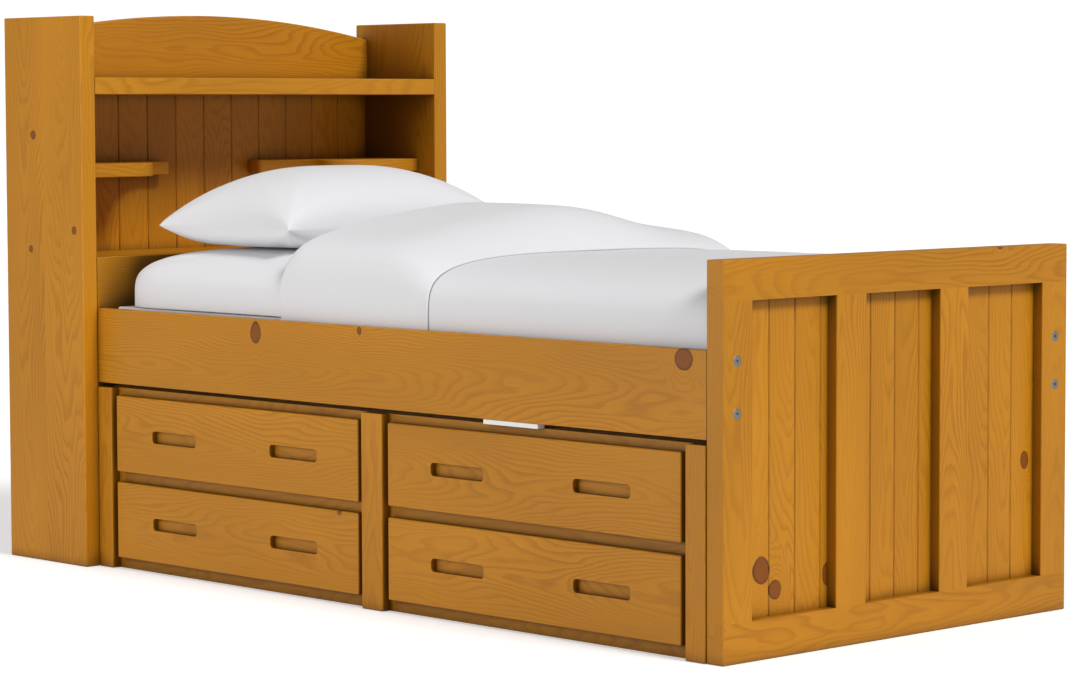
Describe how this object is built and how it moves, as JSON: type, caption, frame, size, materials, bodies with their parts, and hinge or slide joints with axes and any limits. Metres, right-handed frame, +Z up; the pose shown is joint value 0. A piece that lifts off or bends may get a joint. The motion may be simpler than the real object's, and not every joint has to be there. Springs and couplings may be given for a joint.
{
  "type": "bookcase storage bed",
  "caption": "Single bed with a bookcase headboard, framed footboard and an under-bed case of sliding drawers with routed finger pulls, made up with bedding.",
  "frame": {"origin": "on the floor at the middle of the bed's outline", "axes": "+X across the bed, +Y from the footboard towards the headboard, +Z up; the drawers open towards -X"},
  "size_m": [1.12, 2.276, 1.2779],
  "materials": {
    "honey_pine": "satin",
    "drawer_plywood": "matte",
    "slat_pine": "matte",
    "zinc_steel": "satin",
    "dark_bolt_steel": "satin",
    "white_nylon": "satin",
    "white_cotton": "matte",
    "mattress_ticking": "matte"
  },
  "bodies": {
    "root": {"bracket_screws": "zinc_steel", "case_slides": "zinc_steel", "duvet": "white_cotton", "face_bottom_rails": "honey_pine", "face_middle_rails": "honey_pine", "face_stiles": "honey_pine", "face_top_rails": "honey_pine", "foot_bolts": "dark_bolt_steel", "footboard_boards": "honey_pine", "footboard_bottom_rail": "honey_pine", "footboard_inner_battens": "honey_pine", "footboard_mid_stile_left": "honey_pine", "footboard_mid_stile_right": "honey_pine", "footboard_stile_left": "honey_pine", "footboard_stile_right": "honey_pine", "footboard_top_rail": "honey_pine", "foundation_board": "mattress_ticking", "gap_packer": "white_nylon", "head_bolts": "dark_bolt_steel", "headboard_back_boards": "honey_pine", "headboard_back_rail": "honey_pine", "headboard_bottom_shelf": "honey_pine", "headboard_crest": "honey_pine", "headboard_dowels": "slat_pine", "headboard_front_panel": "honey_pine", "headboard_ogee_shelf_left": "honey_pine", "headboard_ogee_shelf_right": "honey_pine", "headboard_side_left": "honey_pine", "headboard_side_right": "honey_pine", "headboard_top_shelf": "honey_pine", "mattress": "mattress_ticking", "pillow": "white_cotton", "rail_brackets": "zinc_steel", "rail_nuts": "zinc_steel", "side_rail_left": "honey_pine", "side_rail_right": "honey_pine", "slat_cleats": "slat_pine", "slats": "slat_pine", "unit_back_panel": "drawer_plywood", "unit_post_foot": "honey_pine", "unit_post_head": "honey_pine", "unit_post_middle": "honey_pine", "unit_side_panels": "drawer_plywood", "unit_top_stretchers": "drawer_plywood"},
    "foot_bottom_drawer": {"foot_bottom_drawer_bottom": "drawer_plywood", "foot_bottom_drawer_box": "drawer_plywood", "foot_bottom_drawer_front": "honey_pine", "foot_bottom_drawer_slides": "zinc_steel"},
    "foot_top_drawer": {"foot_top_drawer_bottom": "drawer_plywood", "foot_top_drawer_box": "drawer_plywood", "foot_top_drawer_front": "honey_pine", "foot_top_drawer_slides": "zinc_steel"},
    "head_bottom_drawer": {"head_bottom_drawer_bottom": "drawer_plywood", "head_bottom_drawer_box": "drawer_plywood", "head_bottom_drawer_front": "honey_pine", "head_bottom_drawer_slides": "zinc_steel"},
    "head_top_drawer": {"head_top_drawer_bottom": "drawer_plywood", "head_top_drawer_box": "drawer_plywood", "head_top_drawer_front": "honey_pine", "head_top_drawer_slides": "zinc_steel"}
  },
  "joints": [
    {"name": "foot_bottom_drawer_slide", "type": "slide", "parent": "root", "child": "foot_bottom_drawer", "axis": [-1, 0, 0], "range_m": [0, 0.34]},
    {"name": "foot_top_drawer_slide", "type": "slide", "parent": "root", "child": "foot_top_drawer", "axis": [-1, 0, 0], "range_m": [0, 0.34]},
    {"name": "head_bottom_drawer_slide", "type": "slide", "parent": "root", "child": "head_bottom_drawer", "axis": [-1, 0, 0], "range_m": [0, 0.34]},
    {"name": "head_top_drawer_slide", "type": "slide", "parent": "root", "child": "head_top_drawer", "axis": [-1, 0, 0], "range_m": [0, 0.34]}
  ]
}
